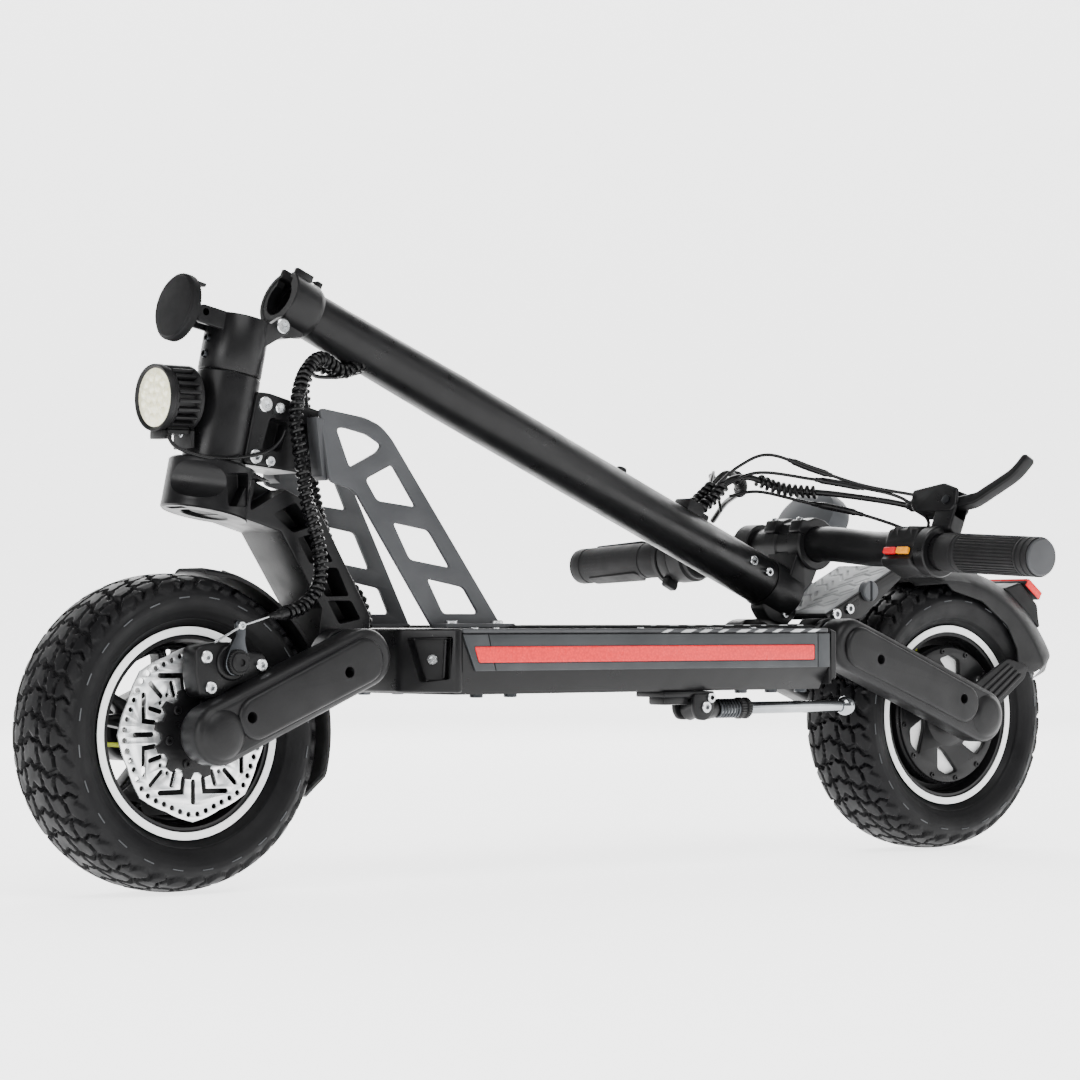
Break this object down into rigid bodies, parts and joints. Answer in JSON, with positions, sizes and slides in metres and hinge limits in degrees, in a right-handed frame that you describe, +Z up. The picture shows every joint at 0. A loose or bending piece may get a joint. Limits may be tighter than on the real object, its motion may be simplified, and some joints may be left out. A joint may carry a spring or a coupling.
{
  "type": "electric kick scooter",
  "caption": "Off-road electric kick scooter with its stem folded down over the deck, swing-arm suspension, fat tyres and a drop-down stand.",
  "frame": {"origin": "on the ground, under the middle of the scooter's box", "axes": "-X forward, +X to the rear, -Y the rider's left, +Z up"},
  "size_m": [1.1398, 0.6228, 0.5054],
  "materials": {
    "satin_black_casting": "satin black powder coat",
    "grey_side_extrusion": "satin grey anodised",
    "gusset_plate": "satin grey paint",
    "matte_black_plastic": "moulded, fine grain",
    "grey_plastic": "moulded, matte",
    "grip_rubber": "matte, ribbed",
    "tyre_rubber": "matte, treaded",
    "cast_wheel": "satin black with a white edge ring",
    "bright_steel": "ground bright",
    "dark_steel": "dark chrome",
    "red_lens": "translucent red",
    "amber_button": "gloss amber",
    "lamp_lens": "clear faceted",
    "battery_wrap": "shrink wrap",
    "controller_case": "bare extrusion"
  },
  "bodies": {
    "frame": {"deck_shell": "grey_side_extrusion", "deck_cover": "satin_black_casting", "deck_mat": "grip_rubber", "battery_pack": "battery_wrap", "controller": "controller_case", "reflector_left": "red_lens", "reflector_right": "red_lens", "nose_casting": "satin_black_casting", "tail_casting": "satin_black_casting", "gusset_left": "gusset_plate", "gusset_right": "gusset_plate", "foot_rest": "satin_black_casting", "kickstand_bracket": "satin_black_casting", "rear_pivot_shaft": "bright_steel", "headlight_housing": "matte_black_plastic", "headlight_lens": "lamp_lens", "head_tube": "satin_black_casting", "head_bracket": "satin_black_casting", "headset_bearing_lower": "bright_steel", "headset_bearing_upper": "bright_steel"},
    "steerer": {"fork_crown": "satin_black_casting", "steerer_column": "satin_black_casting", "fold_pin": "bright_steel", "front_pivot_shaft": "bright_steel"},
    "latch": {"clamp_bolt": "satin_black_casting"},
    "knob": {"clamp_knob": "satin_black_casting"},
    "stem": {"stem_collar": "satin_black_casting", "stem_tube": "satin_black_casting", "stem_end_collar": "satin_black_casting", "handlebar_clamp": "satin_black_casting", "handlebar": "satin_black_casting", "grip_left": "grip_rubber", "grip_right": "grip_rubber", "switch_pod": "matte_black_plastic", "lever_bracket": "satin_black_casting", "throttle_housing": "matte_black_plastic", "display": "grey_plastic", "brake_cable": "grip_rubber", "main_harness": "grip_rubber"},
    "horn": {"horn_button": "red_lens"},
    "signal": {"signal_button": "amber_button"},
    "lever": {"brake_lever": "satin_black_casting"},
    "throttle": {"throttle_lever": "matte_black_plastic"},
    "front_arm": {"front_arm_left": "satin_black_casting", "front_arm_right": "satin_black_casting", "front_axle": "bright_steel", "brake_caliper": "satin_black_casting", "front_fender": "matte_black_plastic"},
    "caliper_lever": {"caliper_arm": "dark_steel"},
    "front_wheel": {"front_tyre": "tyre_rubber", "front_rim": "cast_wheel", "brake_disc": "bright_steel"},
    "rear_arm": {"rear_arm_left": "satin_black_casting", "rear_arm_right": "satin_black_casting", "motor_axle": "bright_steel", "rear_fender": "matte_black_plastic", "tail_light": "red_lens"},
    "rear_wheel": {"rear_tyre": "tyre_rubber", "motor_hub": "cast_wheel"},
    "stand": {"kickstand_leg": "dark_steel"}
  },
  "joints": [
    {"name": "steering", "type": "hinge", "parent": "frame", "child": "steerer", "pos_m": [-0.39887, 0, 0.343], "axis": [0.2079, 0, 0.9781], "range_deg": [-16, 16]},
    {"name": "stem_fold", "type": "hinge", "parent": "steerer", "child": "stem", "pos_m": [-0.3464, 0, 0.45514], "axis": [0, -1, 0], "range_deg": [0, 101], "deforming": ["brake_cable", "main_harness"]},
    {"name": "latch_swing", "type": "hinge", "parent": "steerer", "child": "latch", "pos_m": [-0.41514, 0, 0.46362], "axis": [0, 1, 0], "range_deg": [0, 30]},
    {"name": "knob_spin", "type": "hinge", "parent": "latch", "child": "knob", "pos_m": [-0.41514, 0, 0.46362], "axis": [-0.9781, 0, 0.2079], "continuous": true},
    {"name": "horn_press", "type": "slide", "parent": "stem", "child": "horn", "axis": [0.9205, 0, -0.3907], "range_m": [0, 0.0015], "stiffness_N_per_m": 600, "springref_m": -0.002},
    {"name": "signal_press", "type": "slide", "parent": "stem", "child": "signal", "axis": [0.9205, 0, -0.3907], "range_m": [0, 0.0015], "stiffness_N_per_m": 600, "springref_m": -0.002},
    {"name": "brake_lever_pull", "type": "hinge", "parent": "stem", "child": "lever", "pos_m": [0.27084, -0.178, 0.31916], "axis": [0.9205, 0, -0.3907], "range_deg": [0, 18], "stiffness_Nm_per_rad": 3, "springref_deg": -8.59},
    {"name": "throttle_press", "type": "hinge", "parent": "stem", "child": "throttle", "pos_m": [0.25297, 0.172, 0.27687], "axis": [-0.0643, 0.9966, -0.0519], "range_deg": [0, 25], "stiffness_Nm_per_rad": 0.5, "springref_deg": -17.19},
    {"name": "front_suspension", "type": "hinge", "parent": "steerer", "child": "front_arm", "pos_m": [-0.30237, 0, 0.186], "axis": [0, 1, 0], "range_deg": [0, 10], "stiffness_Nm_per_rad": 500, "springref_deg": -11.46},
    {"name": "caliper_arm_turn", "type": "hinge", "parent": "front_arm", "child": "caliper_lever", "pos_m": [-0.42287, 0, 0.183], "axis": [0, 1, 0], "range_deg": [0, 20]},
    {"name": "front_wheel_spin", "type": "hinge", "parent": "front_arm", "child": "front_wheel", "pos_m": [-0.44287, 0, 0.127], "axis": [0, 1, 0], "continuous": true},
    {"name": "rear_suspension", "type": "hinge", "parent": "frame", "child": "rear_arm", "pos_m": [0.24263, 0, 0.194], "axis": [0, -1, 0], "range_deg": [0, 8], "stiffness_Nm_per_rad": 700, "springref_deg": -11.46},
    {"name": "rear_wheel_spin", "type": "hinge", "parent": "rear_arm", "child": "rear_wheel", "pos_m": [0.41413, 0, 0.127], "axis": [0, 1, 0], "continuous": true},
    {"name": "stand_swing", "type": "hinge", "parent": "frame", "child": "stand", "pos_m": [0.05263, -0.075, 0.14], "axis": [0, 0.9397, -0.342], "range_deg": [0, 128]}
  ],
  "couplings": [
    {"joint": "caliper_arm_turn", "follows": "brake_lever_pull", "ratio": 1}
  ]
}
